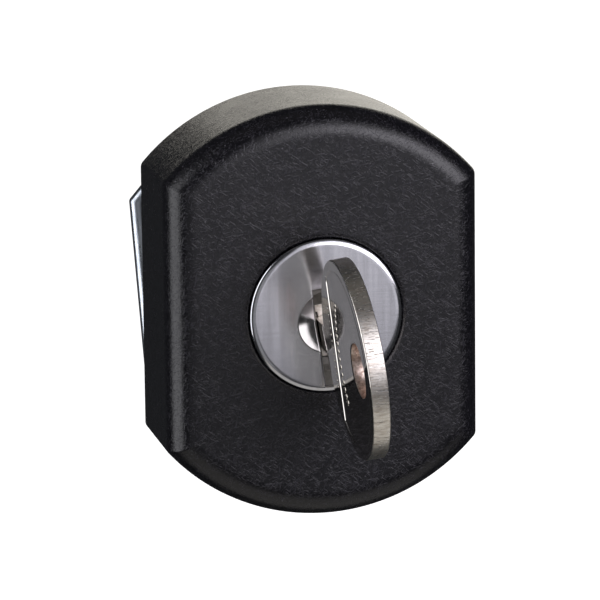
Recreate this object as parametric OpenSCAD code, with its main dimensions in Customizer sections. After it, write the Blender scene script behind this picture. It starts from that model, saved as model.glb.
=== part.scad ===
// Cam lock in a plastic housing, with its key in the plug.
// Every part is drawn in the lock's own frame: x to the right, y up, z out of the front,
// with z = 0 on the housing's rear plane. on_axis() then lays the lock along Y, front to -Y.

/* [Housing] */
// Width across the two flats
body_w = 45; // [44:0.5:48]
// Diameter of the round top and bottom
body_d = 59.1; // [59:0.1:62]
// Depth from the rear plane to the front face
body_depth = 20.9; // [20.5:0.1:22]
// Radius of the front edge
edge_r = 4; // [2:0.5:4.5]
// Radius of the four upright corners
corner_r = 1.25; // [0.5:0.25:2]
// Thickness of the side wall
wall = 2.6; // [2:0.1:2.8]
// Thickness of the ribs
rib_t = 1.3; // [1:0.1:1.6]

/* [Face cap] */
// Diameter of the metal cap
cap_d = 21.9; // [21.6:0.1:22]
// How far the cap stands proud of the front face
cap_proud = 0.32; // [0.2:0.02:0.6]
// Sheet thickness of the cap
cap_t = 0.5; // [0.4:0.05:0.6]
// Radius of the dimple where it meets the cap's face
dimple_r = 4.35; // [3.5:0.05:4.5]
// Depth of the dimple
dimple_depth = 1.4; // [0.8:0.1:1.6]

/* [Key] */
// Diameter of the round bow
bow_d = 28.1; // [26:0.1:30]
// Distance of the bow's centre from the front face
bow_out = 16.26; // [15.8:0.02:17]
// Thickness of the key
key_t = 2.64; // [2.4:0.02:2.7]
// Height of the blade
blade_h = 7.8; // [7.4:0.1:7.8]
// Distance of the key's centre line below the lock's axis
key_drop = 2.82; // [2.6:0.02:2.9]
// Diameter of the ring hole
ring_hole_d = 7.6; // [5:0.1:8]
// Depth of the coined field on each side of the bow
coin_depth = 0.2; // [0.1:0.05:0.3]

/* [Cam] */
// Distance from the axis to the end of the cam
cam_reach = 21.35; // [20:0.05:24]
// Width of the cam's end between its two chamfers
cam_end_w = 26.8; // [22:0.1:28]
// Chamfer at the cam's end corners
cam_chamfer = 3; // [1:0.5:4]
// Sheet thickness of the cam
cam_t = 2; // [1.6:0.1:2.2]

/* [Fixing] */
// Distance between the two threaded inserts
insert_spacing = 41; // [40:0.5:42]
// Length of the barrel's end that goes through the panel
snout_l = 8; // [7:0.5:8]

/* [Position] */
// Turn of the plug from upright, anticlockwise from the front
plug_turn = 7.3; // [6:0.1:9]
// Turn of the cam, which lags the plug by the play on its square
cam_turn = 4.2; // [4:0.1:7]

/* [Hidden] */
$fn = 96;
far = 80;            // longer than any part, for cutting tools
quarter = 90;        // the plug's full turn
// housing
body_r = body_d / 2;
front_wall = 3.2;
cavity_top = body_depth - front_wall;
gasket_t = 1.5;
boss_r = 14.6;
rib_angles = [24, 46, 67, 113, 134, 156, 204, 226, 247, 293, 314, 336];
insert_boss_r = 4.3;
insert_r = 2.8;
insert_l = 8;
insert_hole_r = 1.65;
ear_x = 16;          // centre of each ear's screw
ear_boss_r = 3.3;
// barrel
barrel_r = 12;
barrel_fit = 0.05;
bore_r = 9;
snout_r = 11;
flange_r = 14.4;
flange_t = 2.5;
ear_r = 3.5;
screw_r = 1.45;
screw_head_r = 2.7;
screw_head_h = 1.3;
barrel_front = body_depth - 3.5;
cord = 1.2;          // thickness of both rubber rings
barrel_seal_z = 15.6;
plug_seal_z = 15.8;
// plug
plug_r = bore_r - 0.05;
head_r = cap_d / 2 - cap_t - 0.05;
head_z = barrel_front + 0.15;
cap_front = body_depth + cap_proud;
cap_back = cap_front - 2.9;
cap_edge_r = 0.7;
dimple_at = [0.15, -1.1];
dimple_sphere_r = (dimple_r * dimple_r + dimple_depth * dimple_depth) / (2 * dimple_depth);
slot_w = 3.44;
slot_low = -10.1;
slot_high = 3.9;
square_w = 8;
thread_r = 2.5;
// key and keyway
key_x = 0.2;         // the key stands a little right of the axis
key_gap = 0.13;
neck_h = 4;
shoulder_z = 17;
tip_z = -2.5;
bow_z = body_depth + bow_out;
coin_r = bow_d / 2 - 1.6;
coin_from = body_depth + 9.2;
ring_hole_out = 6.8;
ward_h = 1.6;
ward_depth = 0.65;
ward_left_y = -1;
ward_right_y = -4.4;
// wafers
wafer_count = 6;
wafer_pitch = 2.1;
wafer_first_z = 13.4;
wafer_w = 6.5;
wafer_t = 1;
wafer_lift = 1;
wafer_gap = 0.06;
cut_depths = [1, 1.8, 1.4, 0.8, 1.8, 1.2];
ear_out = 5.35;
ear_low = 1.05;
ear_high = 2.25;
spring_x = 4.45;
spring_low = -3.95;
spring_r = 0.55;
spring_wire_r = 0.12;
spring_turns = 5;
// stop and cam stack, each a distance behind the rear plane
lug_angle = 150;
lug_half = 12;
lug_play = 1.5;
stop_t = 1.4;
stop_z = -snout_l - 0.1 - stop_t;
cam_z = stop_z - cam_t;
cam_hole = 8.5;
cam_hub_r = 12;
flat_washer_t = 1;
flat_washer_z = cam_z - flat_washer_t;
lock_washer_t = 1.25;
lock_washer_z = flat_washer_z - lock_washer_t;
head_h = 3.5;

function wafer_z(i) = wafer_first_z - i * wafer_pitch;

// ---- placing and shared shapes

module on_axis() rotate([90, 0, 0]) children();

module turned(angle = plug_turn) on_axis() rotate([0, 0, angle]) children();

module at_z(z) translate([0, 0, z]) children();

// stands a flat shape up in the key's plane: its x becomes z, its thickness goes along x
module upright(thickness, x = key_x) {
    translate([x, 0, 0]) rotate([0, -90, 0]) linear_extrude(thickness, center = true) children();
}

module box(low, high) translate(low) cube(high - low);

module ring(outer, inner, height) {
    difference() {
        cylinder(r = outer, h = height);
        at_z(-1) cylinder(r = inner, h = height + 2);
    }
}

module rubber_ring(outer) rotate_extrude() translate([outer - cord / 2, 0]) circle(cord / 2, $fn = 32);

// a pie slice between two angles, wider than any part
module pie(from, to) {
    steps = 6;
    step = (to - from) / steps;
    polygon([[0, 0], for (i = [0:steps]) far * [cos(from + i * step), sin(from + i * step)]]);
}

// half of a lathe profile with a rounded front edge
module rounded_half(r, height, edge) {
    square([r, height - edge]);
    square([r - edge, height]);
    translate([r - edge, height - edge]) circle(edge);
}

// ---- housing

// x and z outline of the housing, both front edges rounded
module front_outline() {
    for (side = [0, 1]) mirror([side, 0]) rounded_half(body_w / 2, body_depth, edge_r);
}

// plan outline between the flats, its four corners rounded; each circle crosses the round side
// a hair outside it, because two curves that only touch have no clear corner
module plan_outline() {
    crossing = 0.02;
    cx = body_w / 2 - corner_r;
    cy = sqrt(pow(body_r - corner_r + crossing, 2) - cx * cx);
    cut = 3 * corner_r;
    difference() {
        square([body_w, body_d + 2], center = true);
        for (sx = [0, 1], sy = [0, 1]) mirror([sx, 0]) mirror([0, sy])
            polygon([[cx, cy], [cx + cut, cy], [cx, cy] * (1 + cut / norm([cx, cy]))]);
    }
    for (sx = [-1, 1], sy = [-1, 1]) translate([sx * cx, sy * cy]) circle(corner_r);
}

module housing_block() {
    intersection() {
        rotate_extrude() rounded_half(body_r, body_depth, edge_r);
        rotate([90, 0, 0]) linear_extrude(body_d + 2, center = true) front_outline();
        at_z(-1) linear_extrude(body_depth + 2) plan_outline();
    }
}

// outline of the inside, smaller than the housing all round by the wall
module inner_outline(inset = wall) {
    intersection() {
        circle(body_r - inset);
        square([body_w - 2 * inset, body_d], center = true);
    }
}

module at_inserts() for (s = [-1, 1]) translate([0, s * insert_spacing / 2, 0]) children();

module at_ears() for (s = [-1, 1]) translate([s * ear_x, 0, 0]) children();

module housing_ribs() {
    difference() {
        intersection() {
            at_z(gasket_t) linear_extrude(cavity_top - gasket_t + 0.5) inner_outline(wall - 0.5);
            for (a = rib_angles) rotate(a) box([boss_r - 1, -rib_t / 2, 0], [far, rib_t / 2, far]);
        }
        cylinder(r = boss_r + 0.3, h = gasket_t + flange_t);
        at_inserts() cylinder(r = insert_boss_r - 0.5, h = far);
    }
}

module housing_shell() {
    color([0.13, 0.13, 0.14]) on_axis() difference() {
        union() {
            difference() {
                housing_block();
                at_z(-1) linear_extrude(cavity_top + 1) inner_outline();
            }
            at_z(gasket_t + flange_t) {
                cylinder(r = boss_r, h = cavity_top - gasket_t - flange_t + 0.5);
                at_ears() cylinder(r = ear_boss_r, h = cavity_top - gasket_t - flange_t + 0.5);
            }
            at_inserts() cylinder(r = insert_boss_r, h = cavity_top + 0.5);
            housing_ribs();
        }
        at_z(-1) cylinder(r = barrel_r + barrel_fit, h = barrel_front + 1);
        cylinder(r = cap_d / 2 + 0.2, h = far);
        at_z(gasket_t) at_ears() cylinder(r = screw_r + 0.05, h = 12);
        at_z(-1) at_inserts() cylinder(r = insert_r, h = insert_l + 2.5);
    }
}

module threaded_inserts() {
    color([0.79, 0.62, 0.3]) on_axis() at_z(0.05) at_inserts() ring(insert_r - 0.02, insert_hole_r, insert_l);
}

module panel_gasket() {
    color([0.2, 0.2, 0.2]) on_axis() linear_extrude(gasket_t - 0.1) difference() {
        inner_outline(wall + 0.15);
        circle(snout_r + 0.5);
        at_ears() circle(screw_head_r + 0.7);
        at_inserts() circle(insert_boss_r + 0.2);
    }
}

// ---- barrel

module barrel_flange() {
    linear_extrude(flange_t) {
        circle(flange_r);
        at_ears() circle(ear_r);
        square([2 * ear_x, 2 * ear_r], center = true);
    }
}

// the wafers rise into these two grooves: a wide one at the locked end of the turn, which also
// takes them where the plug rests, and one at the open end
module wafer_grooves() {
    low_z = wafer_z(wafer_count - 1) - wafer_t / 2 - 0.2;
    high_z = wafer_z(0) + wafer_t / 2 + 0.2;
    for (groove = [[plug_turn / 2, 1], [quarter, 0.25]]) rotate(groove[0])
        box([-wafer_w / 2 - groove[1], 0, low_z], [wafer_w / 2 + groove[1], plug_r + wafer_lift + 0.25, high_z]);
}

module lock_barrel() {
    color([0.72, 0.72, 0.73]) on_axis() difference() {
        union() {
            at_z(gasket_t) cylinder(r = barrel_r, h = barrel_front - gasket_t);
            at_z(-snout_l) cylinder(r = snout_r, h = snout_l + gasket_t + 0.5);
            at_z(gasket_t) barrel_flange();
        }
        at_z(-far / 2) cylinder(r = bore_r, h = far);
        wafer_grooves();
        at_z(barrel_seal_z - cord / 2 - 0.1) ring(barrel_r + 1, barrel_r - cord - 0.05, cord + 0.2);
        at_z(gasket_t) at_ears() {
            at_z(-1) cylinder(r = screw_r + 0.1, h = far);
            at_z(-0.01) cylinder(r1 = screw_head_r + 0.1, r2 = screw_r + 0.1, h = screw_head_h);
        }
        at_z(-snout_l - 1) linear_extrude(2.7)
            pie(lug_angle - lug_half - lug_play, lug_angle + lug_half + quarter + lug_play);
    }
}

module barrel_screws() {
    color([0.75, 0.76, 0.78]) on_axis() at_z(gasket_t + 0.05) at_ears() difference() {
        union() {
            cylinder(r1 = screw_head_r, r2 = screw_r, h = screw_head_h - 0.05);
            cylinder(r = screw_r, h = 11);
        }
        for (a = [0, 90]) rotate(a) box([-1.4, -0.3, -1], [1.4, 0.3, 0.9]);
    }
}

module barrel_seal() {
    color([0.1, 0.1, 0.1]) on_axis() at_z(barrel_seal_z) rubber_ring(barrel_r + barrel_fit - 0.01);
}

// ---- plug and cap

module dimple_ball(extra) {
    translate([dimple_at[0], dimple_at[1], cap_front + dimple_sphere_r - dimple_depth])
        sphere(r = dimple_sphere_r + extra);
}

module face_cap() {
    color([0.78, 0.78, 0.8]) turned() difference() {
        union() {
            difference() {
                at_z(cap_back) rotate_extrude() rounded_half(cap_d / 2, cap_front - cap_back, cap_edge_r);
                at_z(cap_back - 1) cylinder(r = cap_d / 2 - cap_t, h = cap_front - cap_t - cap_back + 1);
            }
            intersection() {
                dimple_ball(cap_t);
                at_z(cap_back) cylinder(r = head_r, h = cap_front - cap_back - cap_t / 2);
            }
        }
        dimple_ball(0);
        box([key_x - slot_w / 2, slot_low, cap_back], [key_x + slot_w / 2, slot_high, far]);
    }
}

module keyway() {
    side = key_t / 2 + key_gap;
    low = -key_drop - blade_h / 2 - key_gap;
    high = -key_drop + blade_h / 2 + key_gap;
    rib = ward_depth - 0.05;
    rib_h = ward_h - 0.4;
    difference() {
        box([key_x - side, low, tip_z - 0.3], [key_x + side, high, far]);
        translate([key_x - side, ward_left_y, 0]) cube([2 * rib, rib_h, far], center = true);
        translate([key_x + side, ward_right_y, 0]) cube([2 * rib, rib_h, far], center = true);
    }
    box([key_x - side, low - 1.1, head_z - 0.5], [key_x + side, high + 0.3, far]);
}

module lock_plug() {
    color([0.74, 0.7, 0.64]) turned() difference() {
        union() {
            at_z(-snout_l) cylinder(r = plug_r, h = head_z + snout_l);
            at_z(head_z) cylinder(r = head_r, h = cap_front - cap_t - 0.05 - head_z);
            box([-square_w / 2, -square_w / 2, cam_z + 0.15], [square_w / 2, square_w / 2, 0]);
        }
        keyway();
        dimple_ball(cap_t + 0.05);
        at_z(plug_seal_z - cord / 2 - 0.1) ring(plug_r + 1, plug_r - cord - 0.02, cord + 0.2);
        at_z(cam_z - 1) cylinder(r = thread_r, h = tip_z - 1.5 - cam_z + 1);
        for (i = [0:wafer_count - 1]) at_z(wafer_z(i)) {
            half_t = wafer_t / 2 + wafer_gap;
            box([-wafer_w / 2 - 0.1, -far, -half_t], [wafer_w / 2 + 0.1, far, half_t]);
            box([0, ear_low - 0.1, -half_t], [ear_out + 0.15, ear_high + wafer_lift + 0.15, half_t]);
            translate([spring_x, spring_low - 0.05, 0]) rotate([-90, 0, 0])
                cylinder(r = spring_r + spring_wire_r + 0.1, h = ear_low - spring_low);
        }
    }
}

module plug_seal() {
    color([0.1, 0.1, 0.1]) turned() at_z(plug_seal_z) rubber_ring(plug_r + 0.02);
}

// ---- wafers and their springs

module wafer(i) {
    color([0.82, 0.67, 0.33]) turned() at_z(wafer_z(i) - wafer_t / 2) linear_extrude(wafer_t) difference() {
        intersection() {
            union() {
                square([wafer_w, 2 * plug_r], center = true);
                translate([0, ear_low]) square([ear_out, ear_high - ear_low]);
            }
            circle(plug_r - 0.1);
        }
        translate([key_x - key_t / 2 - 0.2, -key_drop - blade_h / 2 - wafer_lift - 0.15])
            square([key_t + 0.4, blade_h + wafer_lift + 0.35]);
    }
}

// a coil spring standing on its pocket's floor, swept round a helix along y
module wafer_spring(i) {
    sides = 5;
    per_turn = 10;
    rise = ear_low - spring_low - 2 * spring_wire_r - 0.05;
    rings = spring_turns * per_turn;
    points = [
        for (k = [0:rings], s = [0:sides - 1])
            let (a = 360 * k / per_turn, b = 360 * s / sides, r = spring_r + spring_wire_r * cos(b))
                [r * cos(a), spring_wire_r * sin(b) + rise * k / rings, r * sin(a)]
    ];
    walls = [
        for (k = [0:rings - 1], s = [0:sides - 1])
            let (p = k * sides, n = (s + 1) % sides)
                each [[p + s, p + n, p + sides + n], [p + s, p + sides + n, p + sides + s]]
    ];
    first = [for (s = [0:sides - 1]) sides - 1 - s];
    last = [for (s = [0:sides - 1]) rings * sides + s];
    color([0.7, 0.71, 0.73]) turned() translate([spring_x, spring_low + spring_wire_r, wafer_z(i)])
        polyhedron(points, concat(walls, [first, last]), convexity = 10);
}

// ---- stop, cam and their screw

module stop_washer() {
    color([0.8, 0.8, 0.82]) turned() {
        difference() {
            union() {
                at_z(stop_z) cylinder(r = snout_r - 0.1, h = stop_t);
                at_z(stop_z) intersection() {
                    ring(snout_r - 0.1, bore_r + 0.2, stop_t + 1.6);
                    linear_extrude(far) pie(lug_angle - lug_half, lug_angle + lug_half);
                }
            }
            at_z(stop_z) cube([square_w + 0.1, square_w + 0.1, far], center = true);
        }
    }
}

// the cam's broad end towards -x, with sides that run down to the round hub
module cam_end() {
    half = cam_end_w / 2;
    shoulder = [cam_reach - cam_chamfer - 4, half + cam_chamfer];
    meet = atan2(shoulder[1], shoulder[0]) + acos(cam_hub_r / norm(shoulder));
    upper = [
        [cam_reach, half],
        [cam_reach - cam_chamfer, half + cam_chamfer],
        shoulder,
        (cam_hub_r - 0.2) * [cos(meet), sin(meet)]
    ];
    lower = [for (i = [len(upper) - 1:-1:0]) [upper[i][0], -upper[i][1]]];
    mirror([1, 0]) polygon(concat(upper, lower));
}

module cam() {
    color([0.75, 0.79, 0.83]) turned(cam_turn) at_z(cam_z) difference() {
        union() {
            cylinder(r = cam_hub_r, h = cam_t);
            linear_extrude(cam_t) cam_end();
        }
        cube([cam_hole, cam_hole, far], center = true);
    }
}

module cam_washer() {
    color([0.78, 0.8, 0.82]) turned() at_z(flat_washer_z) ring(8, thread_r + 0.2, flat_washer_t);
}

module cam_lock_washer() {
    color([0.7, 0.71, 0.74]) turned() at_z(lock_washer_z) difference() {
        ring(4.6, thread_r + 0.2, lock_washer_t);
        box([-0.4, 0, -1], [0.4, far, far]);
    }
}

module cam_screw() {
    color([0.78, 0.8, 0.82]) turned() {
        at_z(lock_washer_z - head_h) cylinder(r = square_w / sqrt(3), h = head_h, $fn = 6);
        at_z(lock_washer_z) cylinder(r = thread_r - 0.02, h = 9);
    }
}

// ---- key

module key_outline() {
    blade_low = -key_drop - blade_h / 2;
    tip = 1.6;
    difference() {
        union() {
            translate([bow_z, -key_drop]) circle(bow_d / 2);
            translate([shoulder_z - 1, -key_drop - neck_h / 2]) square([bow_z - shoulder_z, neck_h]);
            polygon([
                [tip_z, blade_low + tip], [tip_z + tip, blade_low], [shoulder_z, blade_low],
                [shoulder_z, blade_low + blade_h], [tip_z + tip, blade_low + blade_h],
                [tip_z, blade_low + blade_h - tip]
            ]);
        }
        translate([bow_z + ring_hole_out, -key_drop]) circle(ring_hole_d / 2);
        for (i = [0:wafer_count - 1]) let (z = wafer_z(i), d = cut_depths[i], flat = 0.6)
            polygon([
                [z - flat, blade_low + d], [z + flat, blade_low + d],
                [z + flat + d + 1, blade_low - 1], [z - flat - d - 1, blade_low - 1]
            ]);
    }
}

module coined_field() {
    intersection() {
        translate([bow_z, -key_drop]) circle(coin_r);
        translate([coin_from, -far / 2]) square(far);
    }
}

module key() {
    color([0.8, 0.76, 0.7]) turned() difference() {
        upright(key_t) key_outline();
        for (s = [-1, 1]) upright(2 * coin_depth, key_x + s * key_t / 2) coined_field();
        for (side = [[-1, ward_left_y], [1, ward_right_y]])
            translate([key_x + side[0] * key_t / 2, side[1], 0])
                cube([2 * ward_depth, ward_h, 2 * shoulder_z + 0.6], center = true);
    }
}

housing_shell();
threaded_inserts();
panel_gasket();
lock_barrel();
barrel_screws();
barrel_seal();
face_cap();
lock_plug();
plug_seal();
stop_washer();
cam();
cam_washer();
cam_lock_washer();
cam_screw();
wafer(0);  // wafer_1
wafer(1);  // wafer_2
wafer(2);  // wafer_3
wafer(3);  // wafer_4
wafer(4);  // wafer_5
wafer(5);  // wafer_6
wafer_spring(0);  // wafer_spring_1
wafer_spring(1);  // wafer_spring_2
wafer_spring(2);  // wafer_spring_3
wafer_spring(3);  // wafer_spring_4
wafer_spring(4);  // wafer_spring_5
wafer_spring(5);  // wafer_spring_6
key();
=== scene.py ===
import math

import bmesh
import bpy
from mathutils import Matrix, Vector, geometry


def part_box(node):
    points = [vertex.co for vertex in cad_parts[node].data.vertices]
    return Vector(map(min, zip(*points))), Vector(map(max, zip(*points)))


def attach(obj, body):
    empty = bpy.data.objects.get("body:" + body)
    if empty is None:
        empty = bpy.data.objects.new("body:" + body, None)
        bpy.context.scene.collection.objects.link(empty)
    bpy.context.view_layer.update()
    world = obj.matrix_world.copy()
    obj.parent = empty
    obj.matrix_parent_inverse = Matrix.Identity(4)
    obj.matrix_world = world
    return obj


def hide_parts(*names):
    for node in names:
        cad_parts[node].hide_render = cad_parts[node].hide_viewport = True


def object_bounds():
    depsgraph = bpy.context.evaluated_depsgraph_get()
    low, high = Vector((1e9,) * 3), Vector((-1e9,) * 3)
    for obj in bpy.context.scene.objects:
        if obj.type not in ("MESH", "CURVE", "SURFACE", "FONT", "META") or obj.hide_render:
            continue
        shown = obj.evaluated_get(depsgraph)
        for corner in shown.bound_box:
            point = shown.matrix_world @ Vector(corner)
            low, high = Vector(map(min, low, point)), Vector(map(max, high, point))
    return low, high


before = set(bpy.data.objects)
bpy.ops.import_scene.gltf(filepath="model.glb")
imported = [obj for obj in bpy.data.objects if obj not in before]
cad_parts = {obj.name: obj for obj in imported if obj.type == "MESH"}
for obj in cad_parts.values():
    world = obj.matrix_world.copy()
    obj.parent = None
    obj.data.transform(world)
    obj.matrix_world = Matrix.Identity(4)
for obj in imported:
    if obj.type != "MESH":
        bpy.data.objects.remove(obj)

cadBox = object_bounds()
mm = 0.001
fullTurn = 2 * math.pi

# The lock stands with its axis along Y and its front towards -Y. Shapes below are drawn in
# millimetres with x to the right, y up and z out of the front, from the housing's rear plane.
plugTurn = math.radians(7.3)  # the plug leans anticlockwise, seen from the front
camTurn = math.radians(4.2)  # the cam lags by the play on its square


def toFrame(point, turn=0.0):
    x, y, z = point
    c, s = math.cos(turn), math.sin(turn)
    return Vector((x * c - y * s, -z, x * s + y * c)) * mm


def sizeOf(node):
    low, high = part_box(node)
    return (high - low) / mm


# ---- camera

view = {  # angles in radians, lengths in millimetres
    "yaw": 0.2086,
    "pitch": 0.2087,
    "roll": 0.0111,
    "distance": 660.0,
    "right": 3.692,  # where the lock's axis lies off the picture's middle
    "up": -2.176,
    "lens": 281.3,
}


def placeCamera(depth):
    yaw, pitch, roll = view["yaw"], view["pitch"], view["roll"]
    back = Vector((-math.sin(yaw) * math.cos(pitch), math.sin(pitch), math.cos(yaw) * math.cos(pitch)))
    right = Vector((math.cos(yaw), 0, math.sin(yaw)))
    up = back.cross(right)
    rolledRight = right * math.cos(roll) - up * math.sin(roll)
    rolledUp = right * math.sin(roll) + up * math.cos(roll)
    place = back * view["distance"] - rolledRight * view["right"] - rolledUp * view["up"]
    data = bpy.data.cameras.new("camera")
    data.lens, data.sensor_width = view["lens"], 36.0
    data.clip_start, data.clip_end = 0.05, 50.0
    camera = bpy.data.objects.new("camera", data)
    bpy.context.scene.collection.objects.link(camera)
    axes = [toFrame(v) / mm for v in (rolledRight, rolledUp, back)]
    matrix = camera.matrix_world.to_3x3()
    for column, axis in enumerate(axes):
        for row in range(3):
            matrix[row][column] = axis[row]
    camera.matrix_world = matrix.to_4x4()
    camera.location = toFrame(place + Vector((0, 0, depth)))
    bpy.context.scene.camera = camera


# ---- mesh helpers

def linkMesh(name, mesh):
    data = bpy.data.meshes.new(name)
    mesh.to_mesh(data)
    mesh.free()
    piece = bpy.data.objects.new(name, data)
    bpy.context.scene.collection.objects.link(piece)
    return piece


def ringMesh(rings, turn=0.0, closed=True):
    # rings are loops of the same number of points; closed joins the last ring to the first
    mesh = bmesh.new()
    rows = [[mesh.verts.new(toFrame(point, turn)) for point in ring] for ring in rings]
    pairs = list(zip(rows, rows[1:]))
    if closed:
        pairs.append((rows[-1], rows[0]))
    count = len(rings[0])
    for a, b in pairs:
        for i in range(count):
            j = (i + 1) % count
            mesh.faces.new((a[i], a[j], b[j], b[i]))
    if not closed:
        mesh.faces.new(rows[0])
        mesh.faces.new(rows[-1])
    bmesh.ops.recalc_face_normals(mesh, faces=mesh.faces)
    return mesh


def ringPiece(name, rings, turn=0.0, closed=True):
    return linkMesh(name, ringMesh(rings, turn, closed))


def polar(radius, angle):
    return radius * math.cos(angle), radius * math.sin(angle)


def evenAngles(count):
    return [fullTurn * i / count for i in range(count)]


def circle(radius, count=96, centre=(0, 0)):
    return [(centre[0] + x, centre[1] + y) for x, y in (polar(radius, a) for a in evenAngles(count))]


def atHeight(loop, z):
    return [(x, y, z) for x, y in loop]


def circleRing(radius, z, count=96, centre=(0, 0)):
    return atHeight(circle(radius, count, centre), z)


def lathePiece(name, profile, count=96, centre=(0, 0), turn=0.0, closed=True):
    return ringPiece(name, [circleRing(r, z, count, centre) for r, z in profile], turn, closed)


def boxPiece(name, low, high, turn=0.0, spin=0.0):
    c, s = math.cos(spin), math.sin(spin)
    loop = [(low[0], low[1]), (high[0], low[1]), (high[0], high[1]), (low[0], high[1])]
    loop = [(x * c - y * s, x * s + y * c) for x, y in loop]
    return ringPiece(name, [atHeight(loop, z) for z in (low[2], high[2])], turn, closed=False)


def prismPiece(name, outline, low, high, turn=0.0, upright=False):
    # outline is (x, y) drawn between two z; an upright one is (z, y) drawn between two x
    place = (lambda p, t: (t, p[1], p[0])) if upright else (lambda p, t: (p[0], p[1], t))
    return ringPiece(name, [[place(p, t) for p in outline] for t in (low, high)], turn, closed=False)


def settle(piece):
    # modifiers become plain mesh
    graph = bpy.context.evaluated_depsgraph_get()
    data = bpy.data.meshes.new_from_object(piece.evaluated_get(graph), depsgraph=graph)
    piece.modifiers.clear()
    piece.data = data
    return piece


def combine(piece, other, operation):
    step = piece.modifiers.new("combine", "BOOLEAN")
    step.operation, step.solver, step.object = operation, "EXACT", other
    settle(piece)
    bpy.data.objects.remove(other)
    return piece


def cut(piece, *others):
    for other in others:
        combine(piece, other, "DIFFERENCE")
    return piece


def add(piece, *others):
    for other in others:
        combine(piece, other, "UNION")
    return piece


def joinPieces(first, *others):
    with bpy.context.temp_override(active_object=first, selected_editable_objects=[first, *others]):
        bpy.ops.object.join()
    return first


def tidyFlats(piece):
    # one face for each flat, so that a bevel has clean edges to follow
    mesh = bmesh.new()
    mesh.from_mesh(piece.data)
    bmesh.ops.remove_doubles(mesh, verts=mesh.verts, dist=0.002 * mm)
    bmesh.ops.dissolve_limit(mesh, angle_limit=math.radians(1.0), verts=mesh.verts, edges=mesh.edges)
    mesh.to_mesh(piece.data)
    mesh.free()
    return piece


def softenEdges(piece, width, angle=35, segments=2):
    tidyFlats(piece)
    bevel = piece.modifiers.new("edges", "BEVEL")
    bevel.width, bevel.segments = width * mm, segments
    bevel.limit_method, bevel.angle_limit = "ANGLE", math.radians(angle)
    bevel.use_clamp_overlap = True
    return settle(piece)


def finishPiece(piece, body, materials, nodes=(), smooth=38):
    if not isinstance(materials, (list, tuple)):
        materials = [materials]
    keep = [face.material_index for face in piece.data.polygons]
    piece.data.materials.clear()
    for material in materials:
        piece.data.materials.append(material)
    for face, index in zip(piece.data.polygons, keep):
        face.material_index = min(index, len(materials) - 1)
    piece.data.shade_smooth()
    piece.data.set_sharp_from_angle(angle=math.radians(smooth))
    # large flats keep their own normals, so that the rolled edges beside them shade cleanly
    even = piece.modifiers.new("even", "WEIGHTED_NORMAL")
    even.keep_sharp, even.weight = True, 50
    settle(piece)
    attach(piece, body)
    if nodes:
        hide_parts(*nodes)
    return piece


# ---- node trees that repeat a shape

def newTree(name, inputs):
    tree = bpy.data.node_groups.new(name, "GeometryNodeTree")
    tree.is_modifier = True
    tree.interface.new_socket("Geometry", in_out="INPUT", socket_type="NodeSocketGeometry")
    for label, kind in inputs.items():
        tree.interface.new_socket(label, in_out="INPUT", socket_type="NodeSocket" + kind)
    tree.interface.new_socket("Geometry", in_out="OUTPUT", socket_type="NodeSocketGeometry")
    return tree, tree.nodes.new("NodeGroupInput"), tree.nodes.new("NodeGroupOutput")


def putNode(tree, kind, links=None, values=None, **settings):
    node = tree.nodes.new(kind)
    for label, value in settings.items():
        setattr(node, label, value)
    for label, value in (values or {}).items():
        node.inputs[label].default_value = value
    for label, socket in (links or {}).items():
        tree.links.new(socket, node.inputs[label])
    return node


def closeTree(tree, start, end, shape):
    plain = putNode(tree, "GeometryNodeRealizeInstances", {"Geometry": shape})
    dressed = putNode(tree, "GeometryNodeSetMaterial", {
        "Geometry": plain.outputs["Geometry"], "Material": start.outputs["Material"]})
    tree.links.new(dressed.outputs["Geometry"], end.inputs["Geometry"])
    return tree


def copyToPoints(tree, start, end, mesh, links):
    # one copy of a mesh on every point of the base, turned and sized by the links
    copies = putNode(tree, "GeometryNodeInstanceOnPoints", {
        "Points": start.outputs["Geometry"], "Instance": mesh.outputs["Mesh"], **links})
    return closeTree(tree, start, end, copies.outputs["Instances"])


def coilTree():
    # a round wire wound into a helix on every point: springs and screw threads
    tree, start, end = newTree("coil on points", {
        "Coil Radius": "Float", "Wire Radius": "Float", "Length": "Float", "Turns": "Float",
        "Steps": "Int", "Sides": "Int", "Stand": "Rotation", "Material": "Material",
    })
    spiral = putNode(tree, "GeometryNodeCurveSpiral", {
        "Resolution": start.outputs["Steps"], "Rotations": start.outputs["Turns"],
        "Start Radius": start.outputs["Coil Radius"], "End Radius": start.outputs["Coil Radius"],
        "Height": start.outputs["Length"],
    })
    wire = putNode(tree, "GeometryNodeCurvePrimitiveCircle", {
        "Resolution": start.outputs["Sides"], "Radius": start.outputs["Wire Radius"]})
    coil = putNode(tree, "GeometryNodeCurveToMesh", {
        "Curve": spiral.outputs["Curve"], "Profile Curve": wire.outputs["Curve"]}, {"Fill Caps": True})
    return copyToPoints(tree, start, end, coil, {"Rotation": start.outputs["Stand"]})


def beadTree():
    # a round bead along every edge of the base
    tree, start, end = newTree("bead along edges", {
        "Bead Radius": "Float", "Sides": "Int", "Material": "Material"})
    path = putNode(tree, "GeometryNodeMeshToCurve", {"Mesh": start.outputs["Geometry"]})
    section = putNode(tree, "GeometryNodeCurvePrimitiveCircle", {
        "Resolution": start.outputs["Sides"], "Radius": start.outputs["Bead Radius"]})
    bead = putNode(tree, "GeometryNodeCurveToMesh", {
        "Curve": path.outputs["Curve"], "Profile Curve": section.outputs["Curve"]})
    return closeTree(tree, start, end, bead.outputs["Mesh"])


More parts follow.
